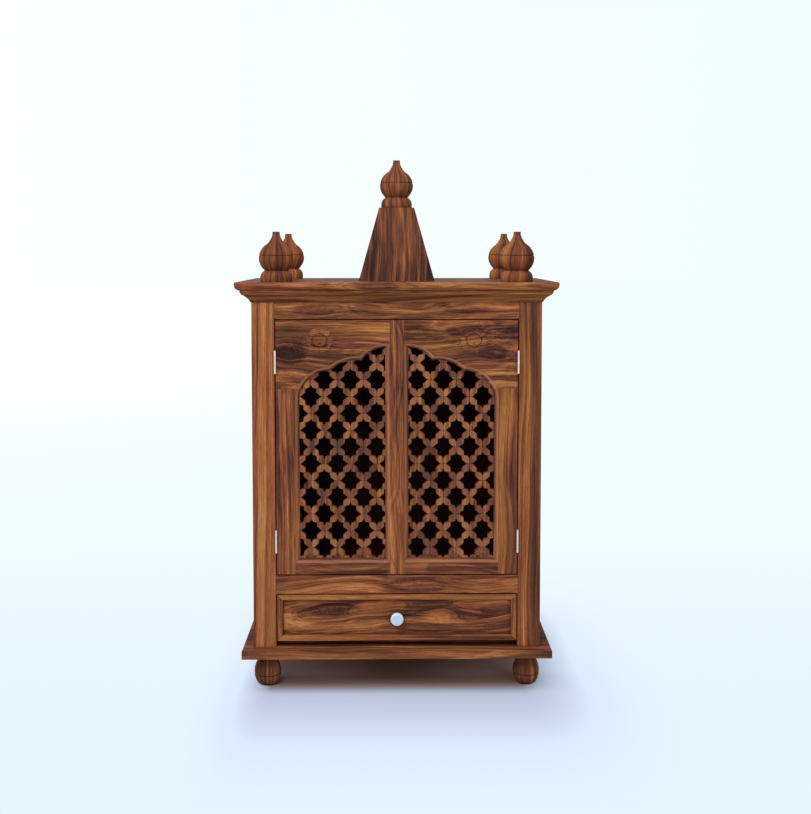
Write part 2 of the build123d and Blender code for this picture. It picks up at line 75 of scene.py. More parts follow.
# Colours of the wood, from its dark heart streaks to its pale streaks
HEART_DARK = (0.032, 0.013, 0.010)
HEART = (0.086, 0.034, 0.022)
BROWN = (0.176, 0.064, 0.029)
GOLDEN = (0.315, 0.116, 0.038)
PALE = (0.480, 0.220, 0.085)
PURPLE_CAST = (1.02, 0.88, 1.05)
GREEN_CAST = (1.00, 1.04, 0.94)
FIBRE_DARK = (0.80, 0.76, 0.74)
FIBRE_LIGHT = (1.16, 1.18, 1.18)
PORE = (0.40, 0.30, 0.28, 1)
# Dark painted shade for the faces of the inner chamber
CHAMBER_SHADE = (0.028, 0.008, 0.004, 1)
# Painted shade for corners, gaps and the ring round the knob
CORNER_SHADE = (0.26, 0.16, 0.12, 1)
# Painted highlight for the rim of the doors' bevels
RIM_HIGHLIGHT = (0.550, 0.235, 0.130, 1)
# Painted shade for carved valleys
VALLEY_SHADE = (0.52, 0.42, 0.39, 1)
PETAL_GREY = (0.125, 0.068, 0.058, 1)
PETAL_PINK = (0.240, 0.100, 0.065, 1)
PETAL_GOLDEN = (0.370, 0.160, 0.070, 1)

# Colours of the hinges and the knob
STEEL_DARK = (0.62, 0.50, 0.49, 1)
STEEL_LIGHT = (0.90, 0.80, 0.78, 1)
GLAZE_DEEP = (0.46, 0.60, 0.78, 1)
GLAZE_PALE = (0.56, 0.69, 0.86, 1)
GLAZE_RIM = (0.74, 0.76, 0.84, 1)

# How often the wood changes across, through and along its fibres, in a metre
STREAKS = (85, 85, 1.6)
LINES = (380, 380, 6)
CLOUDS = (15, 15, 3)
CAST = (28, 28, 3)
CURLS = (110, 110, 70)
FIBRES = (900, 900, 30)
PORES = (1300, 1300, 90)
RINGS = 120.0
RING_WANDER = 80.0

# Colours of the studio
BACKDROP_LEFT = (0.965, 1.0, 1.0, 1)
BACKDROP_RIGHT = (0.895, 1.0, 1.0, 1)
FAR_FLOOR = (0.88, 0.985, 1.0, 1)
MIDDLE_FLOOR = (0.79, 0.92, 1.0, 1)
# The floor's glow near the cabinet is a darker, bluer painted shade
NEAR_FLOOR_SHADE = (0.68, 0.785, 1.0, 1)
FLOOR = (0.66, 0.75, 1.0, 1)
FLOOR_UNSEEN = (0.50, 0.53, 0.60, 1)
# Painted shadow on the floor under the cabinet, brown from the wood above it
FLOOR_UNDER_SHADOW = (0.45, 0.28, 0.22, 1)
FLOOR_UNDER_SHADOW_ENDS = (0.92, 0.68, 0.66, 1)
BLACK = (0, 0, 0, 1)
DAYLIGHT = (1.0, 0.97, 0.94, 1)

# Strength of the sky behind and before the cabinet
SKY_BEHIND, SKY_BEFORE = 0.24, 0.64

# Half width and half depth of the floor that keeps the whole shadow, in metres
SHADOW_HALF_WIDTH, SHADOW_HALF_DEPTH = 0.245, 0.185

# Directions that the grain can run in, as the turn that brings it upright
GRAIN_TURNS = {
    "upright": (0.0, 0.0, 0.0),
    "across": (0.0, math.radians(90), 0.0),
    "deep": (math.radians(90), 0.0, 0.0),
}


class Wire:
    """A number or colour that one of the nodes gives. Arithmetic on it adds Math nodes."""

    def __init__(self, maker, socket):
        self.maker = maker
        self.socket = socket

    def maths(self, operation, *values):
        inputs = dict(enumerate((self, *values)))
        return self.maker.add("ShaderNodeMath", {"operation": operation}, inputs)

    def __add__(self, other):
        return self.maths("ADD", other)

    def __sub__(self, other):
        return self.maths("SUBTRACT", other)

    def __rsub__(self, other):
        return self.maths("MULTIPLY", -1.0).maths("ADD", other)

    def __mul__(self, other):
        return self.maths("MULTIPLY", other)

    def __pow__(self, other):
        return self.maths("POWER", other)

    __radd__ = __add__
    __rmul__ = __mul__

    def band(self, low, high):
        """0 below low, 1 above high, and smooth between them."""
        return self.maker.add(
            "ShaderNodeMapRange",
            {"interpolation_type": "SMOOTHSTEP"},
            {"Value": self, "From Min": low, "From Max": high},
        )

    def ridge(self, start, full, fade, end):
        """1 from full to fade, 0 before start and after end, and smooth between them."""
        return self.band(start, full) * (1 - self.band(fade, end))


class NodeMaker:
    """Adds nodes to the tree of a material or of the sky."""

    def __init__(self, tree):
        self.tree = tree

    def add(self, kind, settings=None, inputs=None, output=0):
        """Adds a node, sets it up, fills or links its inputs, and returns one of its outputs."""
        node = self.tree.nodes.new(kind)
        for key, value in (settings or {}).items():
            if key == "stops":
                self.fill_ramp(node.color_ramp, value)
            else:
                setattr(node, key, value)
        for key, value in (inputs or {}).items():
            self.feed(node.inputs[key], value)
        return Wire(self, node.outputs[output])

    def feed(self, socket, value):
        if isinstance(value, Wire):
            self.tree.links.new(value.socket, socket)
        else:
            socket.default_value = value

    def fill_ramp(self, ramp, stops):
        for index, (place, colour) in enumerate(stops):
            element = ramp.elements[index] if index < 2 else ramp.elements.new(place)
            element.position = place
            element.color = (*colour, 1.0)

    def ramp(self, share, *stops):
        """A colour between the (place, colour) stops."""
        return self.add("ShaderNodeValToRGB", {"stops": stops}, {"Fac": share})

    def blend(self, mode, amount, first, second):
        """Two colours mixed, as the named blend mode does."""
        settings = {"data_type": "RGBA", "blend_type": mode}
        return self.add("ShaderNodeMix", settings, {0: amount, 6: first, 7: second}, 2)

    def vector(self, operation, first, second=(0, 0, 0), output=0):
        return self.add("ShaderNodeVectorMath", {"operation": operation}, {0: first, 1: second}, output)

    def scaled(self, vector, share):
        """The vector made longer or shorter by a number."""
        return self.add("ShaderNodeVectorMath", {"operation": "SCALE"}, {0: vector, 3: share})

    def length(self, vector):
        return self.vector("LENGTH", vector, output="Value")

    def part(self, vector, axis):
        return self.add("ShaderNodeSeparateXYZ", inputs={"Vector": vector}, output=axis)

    def point(self):
        """The point on the piece, in metres."""
        return self.add("ShaderNodeTexCoord", output="Object")

    def coordinate(self, axis):
        """One coordinate of the point on the piece, in metres."""
        return self.part(self.point(), axis)

    def noise(self, point, often, detail=2.0, roughness=0.5, distortion=0.0, output="Fac"):
        """Noise that changes as often in a metre as the three numbers say."""
        inputs = {
            "Vector": self.vector("MULTIPLY", point, often),
            "Scale": 1.0,
            "Detail": detail,
            "Roughness": roughness,
            "Distortion": distortion,
        }
        return self.add("ShaderNodeTexNoise", inputs=inputs, output=output)

    def nearness(self, centre, reach):
        """1 at a point of the piece, and 0 past the reach from it, both in millimetres."""
        away = self.vector("SUBTRACT", self.point(), [value * MM for value in centre])
        share = self.vector("MULTIPLY", away, [1 / (value * MM) if value else 0 for value in reach])
        return 1 - self.length(share).band(0.0, 1.0)

    def background_rays(self):
        """1 for what is seen straight, in a reflection or through glass, and 0 for light."""
        kinds = ("Is Camera Ray", "Is Glossy Ray", "Is Transmission Ray")
        return sum(self.add("ShaderNodeLightPath", output=kind) for kind in kinds)


class Finish(NodeMaker):
    """A material under construction."""

    def __init__(self, name):
        self.material = bpy.data.materials.new(name)
        self.material.use_nodes = True
        super().__init__(self.material.node_tree)
        self.surface = self.tree.nodes["Principled BSDF"]

    def bump(self, height, strength, distance):
        inputs = {"Height": height, "Strength": strength, "Distance": distance}
        self.feed(self.surface.inputs["Normal"], self.add("ShaderNodeBump", inputs=inputs))


# Turned pieces with their radius, and sloping boards with their share of each axis in the grain
TURNED = {"feet": 25.7, "spire_finial": 33.3, "corner_finials": 33.3}
SLOPING = {"spire_front_back": (1, 0.1, 1), "spire_sides": (0.1, 1, 1)}

# How far apart the turned pieces of one node lie in the log, so that their figure differs
TURNED_APART = (0.06, 0.035, 0)


def fibres_along(wood, node):
    """The point on the piece, moved so that the fibres follow its turned or sloping faces."""
    low, high = (Vector(corner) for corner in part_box(node))
    middle = (low + high) / 2
    away = wood.vector("SUBTRACT", wood.point(), middle)
    if node in SLOPING:
        return wood.vector("ADD", wood.vector("MULTIPLY", away, SLOPING[node]), middle)
    radius = TURNED[node] * MM
    axes = (high - low) / 2 - Vector((radius, radius, 0))
    around, apart = away, (0, 0, 0)
    if axes.x > MM:
        around = wood.vector("SUBTRACT", wood.vector("ABSOLUTE", away), axes)
        apart = wood.vector("MULTIPLY", wood.vector("SIGN", away), TURNED_APART)
    around = wood.vector("NORMALIZE", wood.vector("MULTIPLY", around, (1, 1, 0)))
    along = wood.vector("MULTIPLY", away, (0, 0, 1))
    moved = wood.vector("ADD", wood.vector("ADD", wood.scaled(around, radius * 0.8), along), apart)
    return wood.vector("ADD", moved, middle)


def lie_of_grain(draw, grain, centre, figure):
    """The turn of a piece's grain, and its place beside a pith that the growth rings go round."""
    slant = 0.01 + 0.04 * figure
    turn = draw.uniform(0, math.tau) if figure > 0.4 else draw.uniform(-0.4, 0.4)
    lean = Euler((draw.uniform(-slant, slant), draw.uniform(-slant, slant), turn))
    whole = (lean.to_matrix() @ Euler(GRAIN_TURNS[grain]).to_matrix()).to_euler()
    pith = Vector((draw.uniform(0.07, 0.13), draw.uniform(0.0, 0.04), draw.uniform(-3, 3)))
    return whole, pith - whole.to_matrix() @ Vector(centre)


def part_round_knots(wood, point, grain, knots):
    """The point moved as if seen through a lens at each knot, and how dark the knots' eyes are."""
    pull = (0, 0, 0.85) if grain == "across" else (0.85, 0, 0)
    eye = 0.0
    for x, z, half_width, half_height, dark in knots:
        near = wood.nearness((x, 0, z), (half_width, 0, half_height))
        away = wood.vector("SUBTRACT", wood.point(), (x * MM, 0, z * MM))
        point = wood.vector("SUBTRACT", point, wood.scaled(wood.vector("MULTIPLY", away, pull), near))
        eye = near.band(0.05, 0.40) * dark + eye
    return point, eye


def swaying(wood, point, figure):
    """The point moved a little to the side, so that the fibres sway slowly along the piece."""
    drift = 0.016 + 0.05 * figure
    sway = wood.noise(point, (8, 8, 2.0 + 3.0 * figure), detail=1.0, output="Color")
    shake = wood.vector("MULTIPLY", wood.vector("SUBTRACT", sway, (0.5, 0.5, 0.5)), (drift, drift, 0))
    return wood.vector("ADD", point, shake)


def figure_of(wood, fibres, figure):
    """Light and dark of the growth rings with their crisp outer edge, of streaks, fine lines and clouds."""
    radius = wood.length(wood.vector("MULTIPLY", fibres, (1, 1, 0)))
    rings = wood.add(
        "ShaderNodeTexNoise",
        {"noise_dimensions": "1D"},
        {"W": radius * RING_WANDER, "Scale": 1.0, "Detail": 4.0, "Roughness": 0.7},
    )
    zone = ((radius * RINGS + rings * 7.0).maths("FRACT")) ** 3
    streaks = wood.noise(fibres, STREAKS, detail=4.0, roughness=0.65)
    lines = wood.noise(fibres, LINES)
    clouds = wood.noise(fibres, CLOUDS, detail=1.0)
    shade = (rings - 0.5) * 1.1 + (streaks - 0.5) * 1.5 + (lines - 0.5) * 0.7 + (clouds - 0.5) * 0.8
    return (shade - zone * 0.16) * (0.65 + 0.45 * figure)


def lacquer(wood, point, colour):
    """The colour with fine fibres and open pores under a satin lacquer, which they make uneven."""
    fibre = wood.noise(point, FIBRES)
    pores = wood.noise(point, PORES, detail=1.0).band(0.58, 0.70)
    colour = wood.blend("MULTIPLY", 1.0, colour, wood.ramp(fibre, (0.30, FIBRE_DARK), (0.70, FIBRE_LIGHT)))
    wood.feed(wood.surface.inputs["Roughness"], 0.50 + fibre * 0.12)
    wood.surface.inputs["Specular IOR Level"].default_value = 0.05
    wood.bump(fibre * 0.5 - pores, 0.25, 0.0002)
    return wood.blend("MULTIPLY", pores * 0.5, colour, PORE)


def petal_colours(wood, colour, amount):
    """The colour with each petal greyer, pinker or more golden, by its attribute tone."""
    own = wood.add("ShaderNodeAttribute", {"attribute_name": "tone"}, output="Fac")
    colour = wood.blend("MIX", (1 - own.band(0.20, 0.35)) * amount, colour, PETAL_GREY)
    colour = wood.blend("MIX", own.band(0.45, 0.55) * amount * 0.7, colour, PETAL_PINK)
    return wood.blend("MIX", own.band(0.70, 0.80) * amount, colour, PETAL_GOLDEN)


def painted_chamber_shade(wood, colour):
    """The colour with a dark painted shade, standing in for the chamber's shadow, on what faces the inner
    chamber.
    """
    bounds = {
        "X": (-CHAMBER_HALF_WIDTH, CHAMBER_HALF_WIDTH),
        "Y": CHAMBER_DEPTH,
        "Z": CHAMBER_HEIGHT,
    }
    inside = 1.0
    for axis, (low, high) in bounds.items():
        ends = (low, low + CHAMBER_SHADE_EDGE, high - CHAMBER_SHADE_EDGE, high)
        inside = wood.coordinate(axis).ridge(*[end * MM for end in ends]) * inside
    return wood.blend("MIX", inside, colour, CHAMBER_SHADE)


def rosewood(name, grain, centre, seed, tone=0.0, figure=0.4, knots=(), bent=None, chamber_shaded=False,
             valley_shade_depths=None, toned=0.0, knob_shade=None, bevel_highlight=0.0):
    """Figured rosewood with a satin lacquer and painted shade in its corners.

    Tone is how light it is against the other pieces, and figure is how wild its grain is.
    Knots are (x, z, half width, half height, dark) in millimetres, through a board that faces the front.
    Bent names a turned or sloping piece, and chamber_shaded gives the faces of the inner chamber a dark
    painted shade.
    Valley shade depths are the (crest, valley) depths of a carving, between which its valleys get painted
    shade, and toned is how strongly its petals differ.
    Knob shade is the (x, z, reach) of a ring of painted shade round a knob, for its contact shadow.
    Bevel highlight is how strong the painted highlight on the rim of the bevel behind the front is.
    """
    wood = Finish(name)
    turn, offset = lie_of_grain(random.Random(seed), grain, centre, figure)
    along = fibres_along(wood, bent) if bent else wood.point()
    parted, eye = part_round_knots(wood, along, grain, knots)
    point = wood.add("ShaderNodeMapping", inputs={"Vector": parted, "Location": offset, "Rotation": turn})
    fibres = swaying(wood, point, figure)

    shade = figure_of(wood, fibres, figure) + (0.53 + tone)
    if knots:
        curl = wood.noise(point, CURLS, detail=3.0, distortion=2.0)
        shade = shade - eye + (curl - 0.5) * eye * 3.0
    colour = wood.ramp(shade, (0.08, HEART_DARK), (0.30, HEART), (0.50, BROWN), (0.70, GOLDEN), (0.96, PALE))
    cast = wood.ramp(wood.noise(fibres, CAST), (0.35, PURPLE_CAST), (0.65, GREEN_CAST))
    colour = lacquer(wood, point, wood.blend("MULTIPLY", 1.0, colour, cast))

    depth = wood.coordinate("Y")
    if toned:
        colour = petal_colours(wood, colour, toned)
    # A ring of painted shade round the knob, for its contact shadow
    if knob_shade:
        x, z, reach = knob_shade
        shade_ring = wood.nearness((x, 0, z), (reach, 0, reach)).band(0.02, 0.25)
        colour = wood.blend("MULTIPLY", shade_ring, colour, CORNER_SHADE)
    # Painted shade in the carving's valleys, by how deep they lie
    if valley_shade_depths:
        crest, valley = valley_shade_depths
        colour = wood.blend("MULTIPLY", depth.band(crest * MM, valley * MM), colour, VALLEY_SHADE)
    # Painted shade in corners, gaps and joints, darker where less of the surroundings is open
    corner = wood.add("ShaderNodeAmbientOcclusion", {"samples": 6}, {"Distance": 0.008}, output="AO")
    colour = wood.blend("MULTIPLY", 1 - corner.band(0.10, 0.90), colour, CORNER_SHADE)
    # A painted highlight on the rim of the bevel behind the front
    if bevel_highlight:
        highlight_rim = depth.ridge(*[(FRONT_Y + behind) * MM for behind in RIM_HIGHLIGHT_DEPTHS])
        colour = wood.blend("MIX", highlight_rim * bevel_highlight, colour, RIM_HIGHLIGHT)
    # A dark painted shade on the faces of the inner chamber, for its shadow
    if chamber_shaded:
        colour = painted_chamber_shade(wood, colour)
    wood.feed(wood.surface.inputs["Base Color"], colour)
    return wood.material


def hinge_metal():
    """Nickelled steel, finely brushed along the knuckles."""
    metal = Finish("hinge_metal")
    brushed = metal.noise(metal.point(), (900, 900, 60))
    metal.surface.inputs["Metallic"].default_value = 0.7
    metal.feed(metal.surface.inputs["Base Color"], metal.blend("MIX", brushed, STEEL_DARK, STEEL_LIGHT))
    metal.feed(metal.surface.inputs["Roughness"], 0.32 + brushed * 0.15)
    return metal.material


def knob_glaze():
    """Pale blue-white glazed ceramic, lighter at its rim."""
    glaze = Finish("knob_glaze")
    cloud = glaze.noise(glaze.point(), (120, 120, 120), detail=3.0)
    inner = glaze.nearness((0, 0, KNOB_Z), (13.5, 0, 13.5)).band(0.05, 0.25)
    face = glaze.blend("MIX", cloud, GLAZE_DEEP, GLAZE_PALE)
    glaze.feed(glaze.surface.inputs["Base Color"], glaze.blend("MIX", inner, GLAZE_RIM, face))
    glaze.feed(glaze.surface.inputs["Roughness"], 0.12 + cloud * 0.08)
    glaze.surface.inputs["Coat Weight"].default_value = 0.6
    return glaze.material


def centre_of(node):
    low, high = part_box(node)
    return (Vector(low) + Vector(high)) / 2


def dress(node, material):
    """Gives a CAD node its finish."""
    piece = nodes[node]
    if piece.material_slots:
        for slot in piece.material_slots:
            slot.material = material
    else:
        piece.data.materials.append(material)


# Each wooden piece with its grain, its tone against the others, and how wild its figure is
WOOD = {
    "plinth_board": ("across", -0.04, 0.5),
    "feet": ("upright", -0.05, 0.3),
    "post_front_left": ("upright", 0.18, 0.1),
    "post_front_right": ("upright", -0.03, 0.2),
    "post_back_left": ("upright", 0.04, 0.2),
    "post_back_right": ("upright", 0.06, 0.2),
    "side_rails": ("deep", 0.0, 0.5),
    "side_panels": ("upright", 0.0, 0.6),
    "back_rails": ("across", 0.0, 0.5),
    "back_panel": ("upright", -0.02, 0.6),
    "frieze_rail": ("across", 0.02, 0.7),
    "mid_rail": ("across", 0.14, 0.7),
    "bottom_rail": ("across", -0.20, 0.4),
    "shrine_floor": ("across", 0.0, 0.5),
    "floor_cleats": ("deep", 0.0, 0.3),
    "drawer_runners": ("deep", 0.0, 0.3),
    "top_board": ("across", -0.05, 0.6),
    # The cornice's lighter tone is partly painted light, for light from below on its underside
    "cornice_front": ("across", 0.14, 0.5),
    "cornice_left": ("deep", 0.14, 0.5),
    "cornice_right": ("deep", 0.14, 0.5),
    "spire_front_back": ("upright", -0.15, 0.6),
    "spire_sides": ("upright", -0.02, 0.4),
    "spire_cap": ("across", -0.02, 0.3),
    "spire_finial": ("upright", 0.04, 0.4),
    "corner_finials": ("upright", 0.04, 0.4),
    "drawer_panel": ("across", 0.04, 0.9),
    "drawer_long_strips": ("across", 0.16, 0.3),
    "drawer_short_strips": ("upright", 0.10, 0.3),
    "drawer_sides": ("deep", 0.06, 0.4),
    "drawer_back": ("across", 0.06, 0.4),
    "drawer_bottom": ("across", 0.08, 0.4),
}
for side, top_tone, bottom_tone in (("left", -0.01, 0.02), ("right", -0.08, 0.09)):
    WOOD[f"{side}_door_top_rail"] = ("across", top_tone, 0.9)
    WOOD[f"{side}_door_bottom_rail"] = ("across", bottom_tone, 0.6)
    WOOD[f"{side}_door_outer_stile"] = ("upright", 0.05, 0.4)
    WOOD[f"{side}_door_lattice"] = ("upright", -0.05, 0.4)

KNOTS = {
    "left_door_top_rail": ((-205, 652, 46, 34, 0.26), (-120, 700, 60, 16, 0.05)),
    "right_door_top_rail": ((130, 694, 50, 18, 0.12), (185, 655, 40, 26, 0.06)),
    "drawer_panel": ((-120, 150, 70, 22, 0.15), (-70, 128, 75, 20, -0.07), (110, 138, 80, 24, -0.14)),
    "mid_rail": ((40, 202, 90, 22, 0.12),),
    "frieze_rail": ((-150, 735, 70, 18, 0.10), (60, 740, 60, 16, 0.06)),
}
# A ring of painted shade round the knob, centred a little below it, for its contact shadow
KNOB_SHADE_RINGS = {"drawer_panel": (0, KNOB_Z - 5.5, 19)}
# How strong the painted highlight on the bevel rim of each door piece is
BEVEL_HIGHLIGHTS = {"top_rail": 0.75, "bottom_rail": 0.4, "outer_stile": 0.4}
# Pieces whose faces toward the inner chamber get a dark painted shade
CHAMBER_SHADED_PARTS = ("post_", "side_", "back_", "frieze_rail", "shrine_floor", "top_board", "mid_rail")

for seed, (node, (grain, tone, figure)) in enumerate(WOOD.items()):
    wood = rosewood(
        f"wood_{node}",
        grain,
        centre_of(node),
        seed,
        tone,
        figure,
        KNOTS.get(node, ()),
        bent=node if node in TURNED or node in SLOPING else None,
        chamber_shaded=node.startswith(CHAMBER_SHADED_PARTS),
        knob_shade=KNOB_SHADE_RINGS.get(node),
        bevel_highlight=BEVEL_HIGHLIGHTS.get(node.split("door_")[-1], 0.0),
    )
    dress(node, wood)

# Both inner stiles are cut from one board, so the grain runs on across their joint
meeting_wood = rosewood("wood_inner_stiles", "upright", (0, FRONT_Y * MM, 0.45), 107, 0.06, 0.5, bevel_highlight=0.4)
for side in ("left", "right"):
    dress(f"{side}_door_inner_stile", meeting_wood)

metal = hinge_metal()
for node in ("post_hinge_leaves", "left_door_hinge_leaves", "right_door_hinge_leaves"):
    dress(node, metal)
dress("drawer_knob", knob_glaze())


def carve(name, outline, seat, rise, steps=()):
    """A raised form in the front plane, from an outline that is extruded forward from its seat.

    Each step then insets its face by a width and lifts it by a height.
    """
    bpy.ops.object.select_all(action="DESELECT")
    bpy.ops.mesh.primitive_circle_add(vertices=len(outline), radius=MM, fill_type="NGON")
    piece = bpy.context.object
    piece.name = piece.data.name = name
    for vertex, (x, z) in zip(piece.data.vertices, outline):
        vertex.co = (x * MM, seat * MM, z * MM)
    bpy.ops.object.mode_set(mode="EDIT")
    bpy.ops.mesh.select_all(action="SELECT")
    bpy.ops.mesh.extrude_region_move(TRANSFORM_OT_translate={"value": (0, -rise * MM, 0)})
    for width, height in steps:
        bpy.ops.mesh.inset(thickness=width * MM, depth=height * MM)
    bpy.ops.mesh.select_all(action="SELECT")
    bpy.ops.mesh.normals_make_consistent(inside=False)
    bpy.ops.object.mode_set(mode="OBJECT")
    return piece


def join(pieces, name):
    """Joins the pieces into one, under the given name."""
    bpy.ops.object.select_all(action="DESELECT")
    for piece in pieces:
        piece.select_set(True)
    bpy.context.view_layer.objects.active = pieces[0]
    bpy.ops.object.join()
    joined = bpy.context.object
    joined.name = joined.data.name = name
    return joined


def apply_boolean(piece, cutter, operation):
    """Cuts the piece with the cutter, or trims it to the cutter, and removes the cutter."""
    bpy.ops.object.select_all(action="DESELECT")
    bpy.context.view_layer.objects.active = piece
    piece.select_set(True)
    cut = piece.modifiers.new("cut", "BOOLEAN")
    cut.operation = operation
    cut.solver = "EXACT"
    cut.object = cutter
    bpy.ops.object.modifier_apply(modifier=cut.name)
    bpy.data.objects.remove(cutter, do_unlink=True)


def move_mesh(piece, matrix):
    """Moves the mesh by the matrix. Its faces stay outward where the matrix mirrors it."""
    piece.data.transform(matrix)
    if matrix.determinant() < 0:
        piece.data.flip_normals()


def place_copy(template, matrix):
    """A copy of the template with its own mesh, moved by the matrix."""
    twin = template.copy()
    twin.data = template.data.copy()
    move_mesh(twin, matrix)
    bpy.context.collection.objects.link(twin)
    return twin


def finish_carving(piece, material, side):
    """Gives a carving its only material and lets it ride on its door."""
    piece.data.materials.clear()
    piece.data.materials.append(material)
    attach(piece, f"{side}_door")


def arc(start, end, bulge, steps=14):
    """Points after start on a circular arc to end, which bulges to the right of its chord."""
    start, end = Vector(start), Vector(end)
    along = (end - start).normalized()
    right = Vector((along.y, -along.x))
    half = (end - start).length / 2
    radius = (half * half + bulge * bulge) / (2 * bulge)
    centre = (start + end) / 2 - right * (radius - bulge)
    sweep = math.asin(half / radius)
    turns = [sweep * (2 * step / steps - 1) for step in range(1, steps + 1)]
    return [tuple(centre + radius * (right * math.cos(turn) + along * math.sin(turn))) for turn in turns]


def opening_outline():
    """The right door's opening, counter-clockwise from the top of its inner side."""
    outline = [
        (OPEN_INNER, SPRING + ARCH_RISE),
        (OPEN_INNER, OPEN_BOTTOM),
        (OPEN_OUTER, OPEN_BOTTOM),
        (OPEN_OUTER, SPRING),
    ]
    for across, up, bulge in ARCH_LOBES:
        end = (OPEN_OUTER - across * (OPEN_OUTER - OPEN_INNER), SPRING + up * ARCH_RISE)
        outline += arc(outline[-1], end, bulge)
    return outline[:-1]


# Quarter of a crossing of the lattice: one leaf-shaped petal, with its middle, its share and its steps
PETAL = ((0, 0), (5.0, 0), (14.2, 7.6), (14.6, 15.3), (10.6, 17.2), (8.0, 16.1), (3.0, 14.9), (0, 9.8))
PETAL_MIDDLE = (7.4, 9.6)
PETAL_SHARE = 0.965
PETAL_STEPS = ((0.8, 0.5), (1.0, -0.15))
LATTICE_ROWS, LATTICE_COLUMNS = range(15), range(-1, 5)


def petal_places():
    """Crossing of the right door's lattice and quarter of it, for each petal in or near the opening."""
    quarters = ((-1, -1), (-1, 1), (1, -1), (1, 1))
    for row, column, (across, up) in itertools.product(LATTICE_ROWS, LATTICE_COLUMNS, quarters):
        x = FIRST_CROSSING[0] + (column + 0.5 * (row % 2)) * STAR_PITCH
        z = FIRST_CROSSING[1] + row * ROW_PITCH
        middle = (x + across * PETAL_MIDDLE[0], z + up * PETAL_MIDDLE[1])
        beside = OPEN_INNER - 9 < middle[0] < OPEN_OUTER + 9
        if beside and OPEN_BOTTOM - 10 < middle[1] < SPRING + ARCH_RISE:
            yield x, z, across, up


def lattice_petals(side, sign, seed):
    """Carved petals at every crossing of one door's lattice, trimmed to the door's opening."""
    draw = random.Random(seed)
    face = FRONT_Y + LATTICE_DEPTH
    middle = Vector(PETAL_MIDDLE)
    outline = [tuple(middle + (Vector(corner) - middle) * PETAL_SHARE) for corner in PETAL]
    template = carve("petal", outline, face + 0.5, 0.7, PETAL_STEPS)
    petals = []
    for x, z, across, up in petal_places():
        shape = Matrix.Diagonal((sign * across, 1, up, 1))
        petal = place_copy(template, Matrix.Translation((sign * x * MM, 0, z * MM)) @ shape)
        tones = petal.data.attributes.new("tone", "FLOAT", "POINT")
        tones.data.foreach_set("value", [draw.random()] * len(petal.data.vertices))
        petals.append(petal)
    bpy.data.objects.remove(template, do_unlink=True)
    petals = join(petals, f"{side}_door_petals")
    window = carve("window", opening_outline(), face + 3, 6)
    move_mesh(window, Matrix.Diagonal((sign, 1, 1, 1)))
    apply_boolean(petals, window, "INTERSECT")
    centre = centre_of(f"{side}_door_lattice")
    # Depths between which the petals' valleys get painted shade
    valley_shade_depths = (face - 0.75, face - 0.1)
    wood = rosewood(
        f"wood_{side}_petals", "upright", centre, seed, 0.13, 0.8, valley_shade_depths=valley_shade_depths, toned=0.5
    )
    finish_carving(petals, wood, side)


def ellipse(centre, half_width, half_height, turn, count, point=0.0):
    """An oval outline, drawn out to a tip at one end by point."""
    outline = []
    for step in range(count):
        angle = math.tau * step / count
        x = half_width * math.cos(angle) * (1 + point * max(0.0, math.cos(angle)) ** 2)
        z = half_height * math.sin(angle) * (1 - point * 0.6 * max(0.0, math.cos(angle)))
        outline.append((
            centre[0] + x * math.cos(turn) - z * math.sin(turn),
            centre[1] + x * math.sin(turn) + z * math.cos(turn),
        ))
    return outline


# Lobes of the carved flower: place across and up, half width, half height, turn and rise, in millimetres
FLOWER = (
    (-9.8, 14.0, 11.0, 7.6, 22, 0.8),
    (9.8, 14.0, 11.0, 7.6, -22, 0.8),
    (-20.0, -3.0, 5.5, 9.0, 8, 0.5),
    (20.0, -3.0, 5.5, 9.0, -8, 0.5),
    (-15.5, -16.5, 6.5, 5.0, -40, 0.5),
    (-5.5, -20.0, 6.0, 4.8, -12, 0.5),
    (5.5, -20.0, 6.0, 4.8, 12, 0.5),
    (15.5, -16.5, 6.5, 5.0, 40, 0.5),
)
LOBE_STEPS = ((1.2, 0.8), (1.1, 0.1))

# Its round cup and the bud in it, and its leaves by their place across and up and their turn
CUP_UP, CUP_HALF_WIDTH, CUP_HALF_HEIGHT = -0.5, 13.2, 11.8
CUP_STEPS = ((1.2, 0.6), (1.2, -0.3), (1.5, -0.5), (3.5, 0.4))
BUD_UP = -5.0
LEAVES = ((-29, 4, 160), (29, 4, 20), (-28, -7, 205), (28, -7, 335))
LEAF_STEPS = ((0.9, 0.3), (1.4, -0.4))

# How far behind the front the carving on a rail starts
CARVING_SEAT = 0.4


